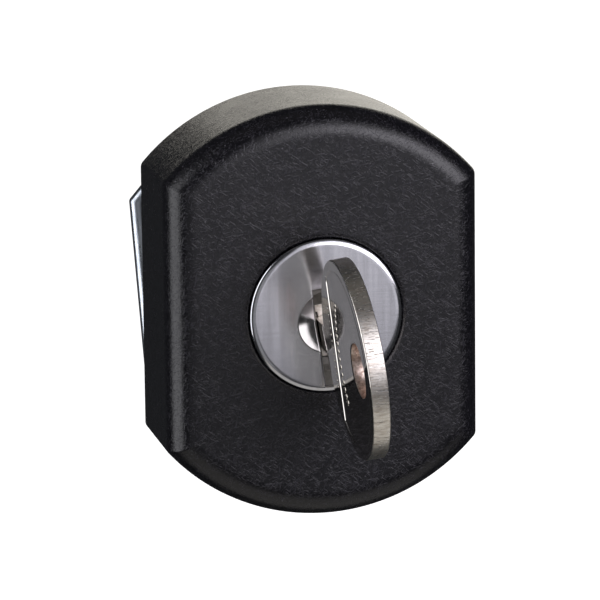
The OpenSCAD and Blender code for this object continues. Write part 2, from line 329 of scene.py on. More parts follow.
def studTree():
    # a flattened dome on every point
    tree, start, end = newTree("studs on points", {
        "Stud Size": "Vector", "Stand": "Rotation", "Material": "Material"})
    ball = putNode(tree, "GeometryNodeMeshUVSphere", values={"Segments": 12, "Rings": 6, "Radius": 1.0})
    links = {"Rotation": start.outputs["Stand"], "Scale": start.outputs["Stud Size"]}
    return copyToPoints(tree, start, end, ball, links)


def ribTree():
    # a thin slab on every point, turned and stretched by the point's own values
    tree, start, end = newTree("ribs on points", {
        "Thickness": "Float", "Height": "Float", "Material": "Material"})
    turn = putNode(tree, "GeometryNodeInputNamedAttribute", values={"Name": "ribTurn"}, data_type="FLOAT")
    span = putNode(tree, "GeometryNodeInputNamedAttribute", values={"Name": "ribSpan"}, data_type="FLOAT")
    slab = putNode(tree, "GeometryNodeMeshCube", values={"Vertices X": 2, "Vertices Y": 2, "Vertices Z": 2})
    size = putNode(tree, "ShaderNodeCombineXYZ", {
        "X": span.outputs["Attribute"], "Y": start.outputs["Height"], "Z": start.outputs["Thickness"]})
    lean = putNode(tree, "ShaderNodeCombineXYZ", {"Y": turn.outputs["Attribute"]})
    return copyToPoints(tree, start, end, slab, {
        "Rotation": lean.outputs["Vector"], "Scale": size.outputs["Vector"]})


def growPiece(name, base, tree, values):
    # base is a mesh of points or edges; the tree's result becomes the piece's plain mesh
    piece = bpy.data.objects.new(name, base)
    bpy.context.scene.collection.objects.link(piece)
    step = piece.modifiers.new("grow", "NODES")
    step.node_group = tree
    for item in tree.interface.items_tree:
        if item.in_out == "INPUT" and item.name in values:
            step[item.identifier] = values[item.name]
    return settle(piece)


def pointMesh(points, turn=0.0, loops=()):
    # loose points, and closed loops of edges
    data = bpy.data.meshes.new("base")
    verts, edges = [toFrame(p, turn) for p in points], []
    for loop in loops:
        first, count = len(verts), len(loop)
        verts += [toFrame(p, turn) for p in loop]
        edges += [(first + i, first + (i + 1) % count) for i in range(count)]
    data.from_pydata(verts, edges, [])
    return data


# ---- materials

def newMaterial(name, fixed):
    material = bpy.data.materials.new(name)
    material.use_nodes = True
    tree = material.node_tree
    shader = tree.nodes["Principled BSDF"]
    for label, value in fixed.items():
        shader.inputs[label].default_value = value
    place = putNode(tree, "ShaderNodeTexCoord").outputs["Object"]
    return material, tree, shader, place


def stretch(tree, place, scale, rotation=(0, 0, 0)):
    turned = putNode(tree, "ShaderNodeMapping", {"Vector": place}, {"Rotation": rotation}).outputs["Vector"]
    return putNode(tree, "ShaderNodeMapping", {"Vector": turned}, {"Scale": scale}).outputs["Vector"]


def cloud(tree, place, scale, detail=3.0, rough=0.55):
    # a soft random pattern; scale is how many lumps go in a metre
    return putNode(
        tree, "ShaderNodeTexNoise", {"Vector": place},
        {"Scale": scale, "Detail": detail, "Roughness": rough}).outputs["Fac"]


def band(tree, value, low, high, out=(0.0, 1.0)):
    return putNode(
        tree, "ShaderNodeMapRange", {"Value": value},
        {"From Min": low, "From Max": high, "To Min": out[0], "To Max": out[1]}).outputs["Result"]


def feed(tree, node, index, value):
    # value is a socket, a colour or a number
    if hasattr(value, "links"):
        tree.links.new(value, node.inputs[index])
    else:
        node.inputs[index].default_value = (*value, 1.0) if isinstance(value, tuple) else value


def mixColour(tree, amount, first, second):
    node = putNode(tree, "ShaderNodeMix", {"Factor": amount}, data_type="RGBA")
    feed(tree, node, 6, first)
    feed(tree, node, 7, second)
    return node.outputs[2]


def calculate(tree, operation, first, second):
    node = putNode(tree, "ShaderNodeMath", operation=operation)
    feed(tree, node, 0, first)
    feed(tree, node, 1, second)
    return node.outputs["Value"]


def setSkin(tree, shader, colour, rough):
    tree.links.new(colour, shader.inputs["Base Color"])
    tree.links.new(rough, shader.inputs["Roughness"])


def rise(tree, shader, height, depth, strength=1.0, under=None):
    # bump of a height pattern, depth in millimetres
    links = {"Height": height}
    if under is not None:
        links["Normal"] = under
    bump = putNode(tree, "ShaderNodeBump", links, {"Distance": depth * mm, "Strength": strength})
    tree.links.new(bump.outputs["Normal"], shader.inputs["Normal"])
    return bump.outputs["Normal"]


def mouldedPlastic():
    # black glass-filled nylon: short fibre marks every way, pale specks, satin skin
    material, tree, shader, place = newMaterial("housing plastic", {"IOR": 1.53})
    fibres = None
    for angle, squeeze in ((0.2, 1.0), (0.75, 1.3), (1.4, 0.8), (2.5, 1.1)):
        drawn = cloud(tree, stretch(tree, place, (950, 2600, 5000 * squeeze), (0, angle, 0)), 1.0, 2.0)
        line = band(tree, drawn, 0.58, 0.72)
        fibres = line if fibres is None else calculate(tree, "MAXIMUM", fibres, line)
    mottle = cloud(tree, place, 260, 4.0, 0.6)
    grain = cloud(tree, place, 3800, 3.0, 0.65)
    specks = putNode(tree, "ShaderNodeTexVoronoi", {"Vector": place}, {"Scale": 620.0, "Randomness": 1.0})
    dots = band(tree, specks.outputs["Distance"], 0.09, 0.04)
    base = mixColour(tree, mottle, (0.0026, 0.0024, 0.0036), (0.0062, 0.0057, 0.0084))
    streaked = mixColour(tree, calculate(tree, "MULTIPLY", fibres, 0.6), base, (0.048, 0.046, 0.056))
    colour = mixColour(tree, calculate(tree, "MULTIPLY", dots, 0.6), streaked, (0.13, 0.125, 0.14))
    broad = band(tree, mottle, 0.3, 0.7, (0.21, 0.27))
    rough = calculate(tree, "ADD", broad, band(tree, grain, 0.3, 0.7, (-0.02, 0.04)))
    setSkin(tree, shader, colour, rough)
    under = rise(tree, shader, grain, 0.016)
    rise(tree, shader, fibres, 0.015, under=under)
    return material


def metal(name, tint, dark, rough, wear=0.3, lines=None, depth=0.004, pits=900):
    # plated or polished metal: cloudy tone, fine lines one way, small pits
    material, tree, shader, place = newMaterial(name, {"Metallic": 1.0})
    tone = cloud(tree, place, 180, 4.0, 0.6)
    fine = cloud(tree, place, pits, 3.0, 0.6)
    drawn = cloud(tree, stretch(tree, place, lines), 1.0, 3.0) if lines else fine
    worn = calculate(tree, "MULTIPLY", band(tree, tone, 0.35, 0.75), wear)
    streaks = band(tree, drawn, 0.35, 0.75, (0.0, 0.35))
    colour = mixColour(tree, calculate(tree, "ADD", worn, streaks), tint, dark)
    setSkin(tree, shader, colour, band(tree, drawn, 0.3, 0.7, (rough * 0.8, rough * 1.25)))
    rise(tree, shader, calculate(tree, "ADD", drawn, calculate(tree, "MULTIPLY", fine, 0.5)), depth)
    return material


def brushedCap():
    # satin steel sheet: fine level brush lines over broad upright streaks
    material, tree, shader, place = newMaterial("cap steel", {"Metallic": 1.0})
    brush = cloud(tree, stretch(tree, place, (260, 260, 9500)), 1.0, 3.0)
    broad = cloud(tree, stretch(tree, place, (900, 900, 60)), 1.0, 3.0)
    tone = mixColour(tree, band(tree, broad, 0.35, 0.7), (0.74, 0.74, 0.775), (0.62, 0.62, 0.65))
    colour = mixColour(tree, band(tree, brush, 0.45, 0.8, (0.0, 0.4)), tone, (0.50, 0.50, 0.52))
    setSkin(tree, shader, colour, band(tree, broad, 0.3, 0.7, (0.13, 0.2)))
    rise(tree, shader, brush, 0.0011)
    return material


def keyRim():
    # the key's edge: sheared, then tumbled, with short marks across it
    material, tree, shader, place = newMaterial("key rim", {"Metallic": 1.0})
    along = cloud(tree, stretch(tree, place, (650, 4200, 4200)), 1.0, 4.0, 0.65)
    lumps = cloud(tree, place, 1300, 4.0, 0.6)
    colour = mixColour(tree, band(tree, along, 0.42, 0.72), (0.96, 0.92, 0.86), (0.66, 0.58, 0.49))
    spotted = mixColour(tree, band(tree, lumps, 0.55, 0.75, (0.0, 0.5)), colour, (0.42, 0.35, 0.28))
    scratches = band(tree, cloud(tree, stretch(tree, place, (500, 9000, 9000)), 1.0, 2.0), 0.62, 0.68)
    scored = mixColour(tree, scratches, spotted, (0.22, 0.18, 0.14))
    setSkin(tree, shader, scored, band(tree, along, 0.3, 0.7, (0.24, 0.38)))
    height = calculate(tree, "ADD", along, calculate(tree, "MULTIPLY", lumps, 0.6))
    under = rise(tree, shader, height, 0.028)
    rise(tree, shader, scratches, 0.02, under=under)
    return material


def keyHole():
    # the ring hole's wall, coppery where the plating is thin
    material, tree, shader, place = newMaterial("key hole", {"Metallic": 1.0})
    spots = cloud(tree, place, 2200, 4.0, 0.65)
    colour = mixColour(tree, band(tree, spots, 0.42, 0.62), (0.88, 0.74, 0.66), (0.42, 0.30, 0.24))
    setSkin(tree, shader, colour, band(tree, spots, 0.3, 0.7, (0.25, 0.42)))
    rise(tree, shader, spots, 0.05)
    return material


def rubber():
    material, tree, shader, place = newMaterial("rubber", {"IOR": 1.5})
    mottle = cloud(tree, place, 300, 4.0)
    grain = cloud(tree, place, 3200, 3.0)
    colour = mixColour(tree, mottle, (0.012, 0.012, 0.012), (0.026, 0.026, 0.027))
    setSkin(tree, shader, colour, band(tree, grain, 0.3, 0.7, (0.6, 0.8)))
    rise(tree, shader, grain, 0.03)
    return material


print("materials")
plastic = mouldedPlastic()
capSteel = brushedCap()
nickel = metal("key nickel", (0.80, 0.765, 0.72), (0.62, 0.58, 0.53), 0.055, 0.25, (300, 1200, 300), 0.0015)
nickelRim = keyRim()
nickelHole = keyHole()
zincPlate = metal("zinc plate", (0.72, 0.77, 0.82), (0.50, 0.54, 0.60), 0.3, 0.5, None, 0.006)
castZinc = metal("cast zinc", (0.60, 0.60, 0.60), (0.40, 0.40, 0.41), 0.36, 0.5, None, 0.012)
# the plug's zinc is painted much darker than the barrel's cast zinc: painted shade for its face deep down the
# cap's slot
plugMetalPaintedShade = metal("plug zinc with painted shade", (0.34, 0.33, 0.31), (0.20, 0.19, 0.17), 0.36, 0.6, None, 0.03, 2600)
springSteel = metal("spring steel", (0.55, 0.56, 0.58), (0.38, 0.39, 0.41), 0.25, 0.3, None, 0.003)
brass = metal("brass", (0.78, 0.60, 0.30), (0.55, 0.38, 0.16), 0.26, 0.4, None, 0.006)
waferBrass = metal("wafer brass", (0.76, 0.60, 0.32), (0.52, 0.38, 0.18), 0.3, 0.5, (3000, 200, 200), 0.005)
blackRubber = rubber()

coils, beads, studs, ribs = coilTree(), beadTree(), studTree(), ribTree()


def makeThread(feet, radius, wire, length, pitch, material, steps=28):
    # a screw thread's crest: a fine helix along the lock's axis, from every foot
    return growPiece("threads", pointMesh(feet), coils, {
        "Coil Radius": radius * mm, "Wire Radius": wire * mm, "Length": length * mm, "Turns": length / pitch,
        "Steps": steps, "Sides": 4, "Stand": (math.pi / 2, 0, 0), "Material": material})


# ---- housing

housing = {
    "halfWidth": sizeOf("housing_shell").x / 2,
    "roundRadius": sizeOf("housing_shell").z / 2,
    "depth": sizeOf("housing_shell").y,
    "edge": 4.0,  # radius of the front edge
    "corner": 1.25,  # radius of the upright corners
    "mitre": 0.3,  # radius of the line where two front edges meet
    "rearRoll": ((0.4, 0.0), (0.12, 0.1), (0.0, 0.35)),  # inset and height along the rear edge
    "sideLevels": (0.7, 8.0),  # further rings up the side
    "wall": 2.6,
    "innerCorner": 0.6,
    "ceiling": 17.7,
    "overlap": 0.4,  # how far a boss runs into the ceiling
    "mouth": 11.03,  # hole that the cap sits in
    "lip": 0.7,  # rounding of its edge
    "seat": 17.4,
    "bore": 12.05,
    "boss": 14.6,
    "bossFrom": 4.0,
    "ribs": (24, 46, 67, 113, 134, 156, 204, 226, 247, 293, 314, 336),
    "ribFrom": 1.5,
    "ribThickness": 1.3,
    "ribBite": 0.2,  # how far a rib runs into what it meets
    "insertY": 20.5,
    "insertBoss": 4.3,
    "insertBore": 2.8,
    "bossEdge": 0.2,
    "earX": 16.0,
    "earBoss": 3.3,
    "earBore": (1.5, 13.5),  # radius and floor of the screw's hole
    "strip": 0.2,  # flat kept beside each rounded edge
}


def planLoop(inset, corner, steps=(10, 8, 56)):
    # two flats, two round ends and four small corner arcs, with the same points at every level
    half, radius = housing["halfWidth"] - inset, housing["roundRadius"] - inset
    cx = half - corner
    cy = math.sqrt((radius - corner) ** 2 - cx * cx)
    lean = math.atan2(cy, cx)
    flats, corners, rounds = steps
    quarter = [(half, cy * i / flats) for i in range(flats)]
    arc = [polar(corner, lean * i / corners) for i in range(corners)]
    quarter += [(cx + x, cy + y) for x, y in arc]
    quarter += [polar(radius, lean + (math.pi / 2 - lean) * i / rounds) for i in range(rounds + 1)]
    back = quarter[::-1]
    return (
        quarter[:-1]
        + [(-x, y) for x, y in back][:-1]
        + [(-x, -y) for x, y in quarter][:-1]
        + [(x, -y) for x, y in back][:-1]
    )


def cornerAt(inset):
    # the upright corners tighten into the mitre line over the first of the front edge
    return housing["mitre"] + (housing["corner"] - housing["mitre"]) * max(0.0, 1 - inset / 0.9)


def makeHousing():
    h = housing
    depth, edge, lip, strip = h["depth"], h["edge"], h["lip"], h["strip"]
    outer = [*h["rearRoll"], *[(0.0, z) for z in (*h["sideLevels"], depth - edge - 0.3, depth - edge)]]
    filletSteps, lipSteps = 16, 6
    for i in range(1, filletSteps + 1):
        a = math.pi / 2 * i / filletSteps
        outer.append((edge - edge * math.cos(a), depth - edge + edge * math.sin(a)))
    outer.append((edge + strip, depth))
    rings = [atHeight(planLoop(inset, cornerAt(inset)), z) for inset, z in outer]
    angles = [math.atan2(y, x) for x, y in planLoop(edge + strip, h["mitre"])]

    def circleAt(radius, z):
        return [(*polar(radius, a), z) for a in angles]

    def between(first, second, share):
        return [tuple(p + (q - p) * share for p, q in zip(a, b)) for a, b in zip(first, second)]

    mouth = circleAt(h["mouth"] + lip + strip, depth)
    rings += [between(rings[-1], mouth, share) for share in (0.3, 0.6, 0.85)] + [mouth]
    for i in range(lipSteps + 1):
        a = math.pi / 2 * i / lipSteps
        rings.append(circleAt(h["mouth"] + lip * (1 - math.sin(a)), depth - lip * (1 - math.cos(a))))
    rings += [circleAt(h["mouth"], h["seat"]), circleAt(h["bore"], h["seat"])]
    rings += [circleAt(h["bore"], h["bossFrom"]), circleAt(h["boss"], h["bossFrom"])]
    rings += [circleAt(h["boss"], h["ceiling"])]
    inner = planLoop(h["wall"], h["innerCorner"])
    rings += [between(rings[-1], atHeight(inner, h["ceiling"]), 0.5)]
    rings += [atHeight(inner, h["ceiling"]), atHeight(inner, 0.4)]
    rings += [atHeight(planLoop(h["wall"] - 0.3, h["innerCorner"]), 0.0)]
    shell = ringPiece("housing", rings)
    addBosses(shell)
    return shell


def addBosses(shell):
    # two for the brass inserts, which share the rear plane, and two for the barrel's screws
    h = housing
    bore, outside, soft = h["insertBore"], h["insertBoss"], h["bossEdge"]
    top, (pilot, pilotFloor) = h["ceiling"] + h["overlap"], h["earBore"]
    insertBoss = [(bore, soft), (bore + soft, 0.0), (outside - soft, 0.0), (outside, soft)]
    insertBoss += [(outside, top), (bore, top)]
    earBoss = [(pilot, pilotFloor), (pilot, h["bossFrom"])]
    earBoss += [(h["earBoss"], h["bossFrom"]), (h["earBoss"], top)]
    for side in (-1, 1):
        add(shell, lathePiece("boss", insertBoss, 64, (0, side * h["insertY"])))
        add(shell, lathePiece("boss", earBoss, 48, (side * h["earX"], 0), closed=False))


def makeRibs():
    # spokes between the barrel's tube and the outer wall
    h = housing
    height = h["ceiling"] - h["ribFrom"]
    points, turns, spans = [], [], []
    for angle in h["ribs"]:
        a = math.radians(angle)
        flat = (h["halfWidth"] - h["wall"]) / abs(math.cos(a))
        far = min(h["roundRadius"] - h["wall"], flat) + h["ribBite"]
        near = h["boss"] - h["ribBite"]
        points.append((*polar((near + far) / 2, a), h["ribFrom"] + height / 2))
        turns.append(-a)
        spans.append((far - near) * mm)
    base = pointMesh(points)
    for label, values in (("ribTurn", turns), ("ribSpan", spans)):
        base.attributes.new(label, "FLOAT", "POINT").data.foreach_set("value", values)
    return growPiece("housing_ribs", base, ribs, {
        "Thickness": h["ribThickness"] * mm, "Height": height * mm, "Material": plastic})


print("housing")
finishPiece(makeHousing(), "housing", plastic, ["housing_shell"])
finishPiece(makeRibs(), "housing", plastic)

# ---- gasket, inserts, barrel

gasket = {
    "inset": 2.75, "from": 0.3, "to": 1.4, "edge": 0.12, "centre": 11.5, "ear": 3.4, "insert": 4.5,
    "bead": 0.35, "proud": 0.02,
    "rimBead": 1.1,  # how far each bead stands from the edge that it follows
    "centreBead": 0.8,
    "insertBead": 0.6,
}


def makeGasket():
    g = gasket
    sheet = prismPiece("panel_gasket_sheet", planLoop(g["inset"], housing["innerCorner"]), g["from"], g["to"])
    holes = [((0, 0), g["centre"])]
    holes += [((side * housing["earX"], 0), g["ear"]) for side in (-1, 1)]
    holes += [((0, side * housing["insertY"]), g["insert"]) for side in (-1, 1)]
    for centre, radius in holes:
        hole = [(radius, g["from"] - 1), (radius, g["to"] + 1)]
        cut(sheet, lathePiece("hole", hole, 72, centre, closed=False))
    softenEdges(sheet, g["edge"])
    line = g["bead"] + g["proud"]
    loops = [atHeight(planLoop(g["inset"] + g["rimBead"], housing["innerCorner"]), line)]
    loops += [circleRing(g["centre"] + g["centreBead"], line, 96)]
    for side in (-1, 1):
        loops += [circleRing(g["insert"] + g["insertBead"], line, 48, (0, side * housing["insertY"]))]
    lips = growPiece("lips", pointMesh([], loops=loops), beads, {
        "Bead Radius": g["bead"] * mm, "Sides": 12, "Material": blackRubber})
    return joinPieces(sheet, lips)


insert = {
    "outer": 2.78, "inner": 1.98, "from": 0.05, "length": 8.0, "pitch": 0.7, "thread": 0.33,
    "lead": 0.25,  # chamfer at the mouth
    "edge": 0.2,
    "threadIn": 0.35,  # how far in the thread starts and stops
}


def makeInserts():
    outer, inner, lead, edge = insert["outer"], insert["inner"], insert["lead"], insert["edge"]
    low, high = insert["from"], insert["from"] + insert["length"]
    wall = [(inner, low + lead), (inner + lead, low), (outer - edge, low), (outer, low + edge)]
    wall += [(outer, high), (inner, high)]
    centres = [(0, side * housing["insertY"]) for side in (-1, 1)]
    sleeves = joinPieces(*[lathePiece("threaded_inserts_fine", wall, 72, centre) for centre in centres])
    feet = atHeight(centres, low + insert["threadIn"])
    length = insert["length"] - 2 * insert["threadIn"]
    return joinPieces(sleeves, makeThread(feet, inner, insert["thread"], length, insert["pitch"], brass))


barrel = {
    "outer": 12.0, "snout": 11.0, "bore": 9.0, "back": -8.0, "front": 17.4, "edge": 0.3, "fineEdge": 0.2,
    "flange": 14.4, "flangeFrom": 1.5, "flangeTo": 4.0,
    "sealAt": 15.6, "sealHalf": 0.7, "sealDepth": 1.25,
    "ear": 3.5, "arm": 12.5, "screwHole": 1.55, "headHole": 2.8, "headDepth": 1.3,
    "lugFrom": 136.5, "lugTo": 253.5, "notch": -6.3,  # room for the stop washer's lug
    "grooves": ((plugTurn / 2, 4.25), (math.pi / 2, 3.5)),  # lean and half width of the wafers' grooves
    "grooveReach": (5.0, 10.2), "grooveZ": (2.0, 14.1),
}


def makeBarrel():
    b = barrel
    edge, fine, outer, bore, snout = b["edge"], b["fineEdge"], b["outer"], b["bore"], b["snout"]
    flange, back, front, low, high = b["flange"], b["back"], b["front"], b["flangeFrom"], b["flangeTo"]
    seal, sealLow, sealHigh = outer - b["sealDepth"], b["sealAt"] - b["sealHalf"], b["sealAt"] + b["sealHalf"]
    profile = [(bore, back + edge), (bore + edge, back), (snout - edge, back), (snout, back + edge)]
    profile += [(snout, low), (flange - fine, low), (flange, low + fine), (flange, high), (outer, high)]
    profile += [(outer, sealLow), (seal, sealLow), (seal, sealHigh), (outer, sealHigh)]
    profile += [(outer, front - edge), (outer - edge, front), (bore + fine, front), (bore, front - fine)]
    body = lathePiece("lock_barrel_fine", profile, 128)
    for side in (-1, 1):
        centre = (side * housing["earX"], 0)
        ear = lathePiece("ear", [(b["ear"], low), (b["ear"], high)], 48, centre, closed=False)
        inner, reach = sorted((side * b["arm"], side * housing["earX"]))
        add(body, boxPiece("arm", (inner, -b["ear"], low), (reach, b["ear"], high)), ear)
        head = [(b["headHole"], low - 0.5), (b["headHole"], low + 0.05)]
        head += [(b["screwHole"], low + b["headDepth"]), (b["screwHole"], high + 1)]
        cut(body, lathePiece("hole", head, 40, centre, closed=False))
    (inner, reach), (floor, top) = b["grooveReach"], b["grooveZ"]
    for spin, half in b["grooves"]:
        cut(body, boxPiece("groove", (-half, inner, floor), (half, reach, top), spin=spin))
    steps, past = 16, 20
    sweep = [math.radians(b["lugFrom"] + (b["lugTo"] - b["lugFrom"]) * i / steps) for i in range(steps + 1)]
    cut(body, prismPiece("notch", [(0, 0)] + [polar(past, a) for a in sweep], back - 1, b["notch"]))
    return body


screw = {
    "head": 2.7, "headEdge": 0.1, "headHeight": 1.25, "shank": 1.4, "from": 1.55, "length": 11.0,
    "point": 1.5, "pitch": 1.0, "thread": 0.16, "threadFrom": 1.9, "threadLength": 7.0,
    "cross": (1.4, 0.3), "crossDepth": 0.85,  # half length and half width of the recess
}


def makeBarrelScrews():
    s = screw
    start, end, rim, deep = s["from"], s["from"] + s["length"], s["headEdge"], s["crossDepth"]
    profile = [(s["head"] - rim, start), (s["head"], start + rim), (s["shank"], start + s["headHeight"])]
    profile += [(s["shank"], end - s["point"]), (0.2, end)]
    screws = []
    for side in (-1, 1):
        x = side * housing["earX"]
        one = lathePiece("barrel_screws_fine", profile, 48, (x, 0), closed=False)
        for wide, tall in (s["cross"], s["cross"][::-1]):
            cut(one, boxPiece("recess", (x - wide, -tall, start - 1), (x + wide, tall, start + deep)))
        screws.append(one)
    feet = [(side * housing["earX"], 0, start + s["threadFrom"]) for side in (-1, 1)]
    thread = makeThread(feet, s["shank"], s["thread"], s["threadLength"], s["pitch"], zincPlate)
    return joinPieces(*screws, thread)


print("gasket, inserts and barrel")
finishPiece(makeGasket(), "housing", blackRubber, ["panel_gasket"])
finishPiece(makeInserts(), "housing", brass, ["threaded_inserts"])
finishPiece(makeBarrel(), "housing", castZinc, ["lock_barrel"], 30)
finishPiece(makeBarrelScrews(), "housing", zincPlate, ["barrel_screws"], 30)

# ---- cap

cap = {
    "radius": sizeOf("face_cap").x / 2,
    "front": -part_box("face_cap")[0].y / mm,
    "back": -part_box("face_cap")[1].y / mm,
    "edge": 0.9,  # width of the sloping shoulder round the cap
    "crown": 1.4,  # radius of that shoulder
    "corner": 0.14,  # radius of its outer corner
    "sheet": 0.5,
    "dimpleAt": (0.15, -1.1),
    "dimple": 4.35,
    "dimpleDepth": 1.4,
    "lip": 0.22,  # rounding of the dimple's edge
    "slot": (-1.52, -10.1, 1.92, 3.9),
    "slotEdge": 0.16,  # rounding of the slot's edge
}


def slotDistance(x, y):
    # how far a point lies outside the slot
    x0, y0, x1, y1 = cap["slot"]
    dx, dy = max(x0 - x, 0, x - x1), max(y0 - y, 0, y - y1)
    if dx == 0 and dy == 0:
        return -min(x - x0, x1 - x, y - y0, y1 - y)
    return math.hypot(dx, dy)


def fallOff(radius, along):
    # how far an arc of this radius has dropped after that distance
    along = min(max(along, 0.0), radius)
    return radius - math.sqrt(radius ** 2 - along ** 2)


def capHeight(x, y, drop=0.0):
    # height of the pressed sheet's outer face, or of its inner face when drop is the sheet's thickness
    r = math.hypot(x, y)
    inner, last = cap["radius"] - cap["edge"], cap["radius"] - cap["corner"]
    shell = cap["front"] - fallOff(cap["crown"], r - inner) - fallOff(cap["corner"], r - last)
    ball = (cap["dimple"] ** 2 + cap["dimpleDepth"] ** 2) / (2 * cap["dimpleDepth"])
    away = math.hypot(x - cap["dimpleAt"][0], y - cap["dimpleAt"][1])
    if away < ball * 0.98:
        bowl = cap["front"] + ball - cap["dimpleDepth"] - math.sqrt(ball ** 2 - away ** 2)
        blend = cap["lip"] * 0.55  # the two faces run into each other over the lip
        gap = max(blend - abs(shell - bowl), 0.0) / blend
        shell = min(shell, bowl) - gap * gap * blend / 4
    shell -= drop
    edge = slotDistance(x, y)
    if drop == 0.0 and edge < cap["slotEdge"]:
        inside = cap["slotEdge"] - max(edge, 0.0)
        shell -= cap["slotEdge"] - math.sqrt(max(cap["slotEdge"] ** 2 - inside ** 2, 0.0))
    return shell


def slotLoop(grow, steps=5):
    # the slot's outline, let out by grow with round corners
    x0, y0, x1, y1 = cap["slot"]
    loop = []
    for cx, cy, start in ((x1, y1, 0.0), (x0, y1, 0.5), (x0, y0, 1.0), (x1, y0, 1.5)):
        if grow == 0:
            loop.append((cx, cy))
        else:
            for i in range(steps + 1):
                x, y = polar(grow, math.pi * (start + 0.5 * i / steps))
                loop.append((cx + x, cy + y))
    return loop


def densify(loop, longest):
    # adds points so that no side is longer than that
    out = []
    for a, b in zip(loop, loop[1:] + loop[:1]):
        parts = max(1, math.ceil(math.dist(a, b) / longest))
        out += [(a[0] + (b[0] - a[0]) * i / parts, a[1] + (b[1] - a[1]) * i / parts) for i in range(parts)]
    return out


def capLoops():
    # the lines that the cap's faces follow: its shoulder, the flat, the dimple and the slot's rounded edge
    outer, edge, corner, soft, dimple = (cap[n] for n in ("radius", "edge", "corner", "slotEdge", "dimple"))
    flat = outer - edge
    radii = [flat + (edge - corner) * i / 7 for i in range(8)]
    radii += [outer - corner * (1 - math.sin(math.pi / 2 * i / 4)) for i in range(1, 5)]
    radii += [flat - step for step in (0.12, 1.2, 2.6)]
    loops = [circle(radius, 144) for radius in radii]
    bowl = [dimple + step for step in (0.5, 0.3, 0.2, 0.1, 0.0, -0.1, -0.2, -0.35)]
    bowl += [dimple * share for share in (0.84, 0.76, 0.68, 0.6, 0.52, 0.44, 0.36, 0.28, 0.2, 0.12, 0.04)]
    loops += [circle(radius, 96, cap["dimpleAt"]) for radius in bowl]
    rounding = [soft * (1 - math.cos(math.pi / 2 * i / 4)) for i in range(5)]
    return loops + [densify(slotLoop(grow), 0.35) for grow in rounding + [soft + 0.06]]


def capVerts(mesh, flatPoints):
    # outer and inner faces of the sheet; the inner one is drawn in by the thickness past the flat
    flat = cap["radius"] - cap["edge"]
    top = [mesh.verts.new(toFrame((p.x, p.y, capHeight(p.x, p.y)), plugTurn)) for p in flatPoints]
    under = []
    for p in flatPoints:
        r = math.hypot(p.x, p.y)
        over = max(r - flat, 0.0)
        pull = (r - over * cap["sheet"] / cap["edge"]) / max(r, 1e-6)
        x, y = p.x * pull, p.y * pull
        under.append(mesh.verts.new(toFrame((x, y, capHeight(x, y, cap["sheet"]) - 0.2 * over), plugTurn)))
    return top, under


def makeCap():
    outer, back = cap["radius"], cap["back"]
    shrink = (outer - cap["sheet"]) / outer
    points, edges = [], []
    for loop in capLoops():
        first = len(points)
        points += [Vector(p) for p in loop]
        edges += [(first + i, first + (i + 1) % len(loop)) for i in range(len(loop))]
    made = geometry.delaunay_2d_cdt(points, edges, [], 0, 1e-5)
    flatPoints, faces = made[0], made[2]
    mesh = bmesh.new()
    top, under = capVerts(mesh, flatPoints)
    used = {}
    for face in faces:
        middle = sum((flatPoints[i] for i in face), Vector((0, 0))) / len(face)
        if slotDistance(middle.x, middle.y) < 0:
            continue
        mesh.faces.new([top[i] for i in face])
        mesh.faces.new([under[i] for i in reversed(face)])
        for i in range(len(face)):
            used[face[i], face[(i + 1) % len(face)]] = True
    skirt = {}
    for a, b in used:
        if (b, a) in used:
            continue
        chain = [(top[a], top[b]), (under[a], under[b])]
        if min(math.hypot(*flatPoints[a]), math.hypot(*flatPoints[b])) > outer - 1e-3:
            for i in (a, b):
                if i not in skirt:
                    x, y = flatPoints[i]
                    rim = [(x, y, back), (x * shrink, y * shrink, back)]
                    skirt[i] = [mesh.verts.new(toFrame(point, plugTurn)) for point in rim]
            chain[1:1] = list(zip(skirt[a], skirt[b]))
        for (a0, b0), (a1, b1) in zip(chain, chain[1:]):
            mesh.faces.new((a0, b0, b1, a1))
    loose = [v for v in mesh.verts if not v.link_faces]
    bmesh.ops.delete(mesh, geom=loose, context="VERTS")
    bmesh.ops.recalc_face_normals(mesh, faces=mesh.faces)
    return linkMesh("face_cap_fine", mesh)


print("cap")
finishPiece(makeCap(), "plug", capSteel, ["face_cap"], 40)

# ---- stop washer, cam and their screw

stack = {
    "stop": (-9.5, -8.1), "stopRadius": 10.9, "stopHole": 4.05, "stopRoll": (0.15, 0.15),
    "lugAt": 150.0, "lugHalf": 12.0, "lugInner": 9.2, "lugTo": -6.5,
    "cam": (-11.5, -9.5), "camHub": 12.0, "camHole": 4.25,
    "camReach": 21.35, "camEnd": 13.4, "camChamfer": 3.0,
    "camCorner": 0.8,  # radius of its corners
    "camFront": (1.7, 1.0),  # width and depth of the roll on its front edge
    "camBack": (0.25, 0.2),
    "washer": (-12.5, -11.5), "washerRadius": 8.0, "washerHole": 2.7, "washerEdge": 0.1,
    "washerRoll": ((0.2, 0.0), (0.05, 0.06), (0.0, 0.2)),  # inset and height along its rear edge
    "spring": (-13.75, -12.5), "springRadius": 4.6, "springSlit": 0.8, "springRise": 0.12, "springEdge": 0.12,
    "head": (-17.25, -13.75), "headHalf": 4.0, "shank": 2.35, "shankTo": -4.75,
    "thread": 0.19, "threadPitch": 0.8,
}


def squareLoop(half, angles):
    return [polar(half / max(abs(math.cos(a)), abs(math.sin(a))), a) for a in angles]


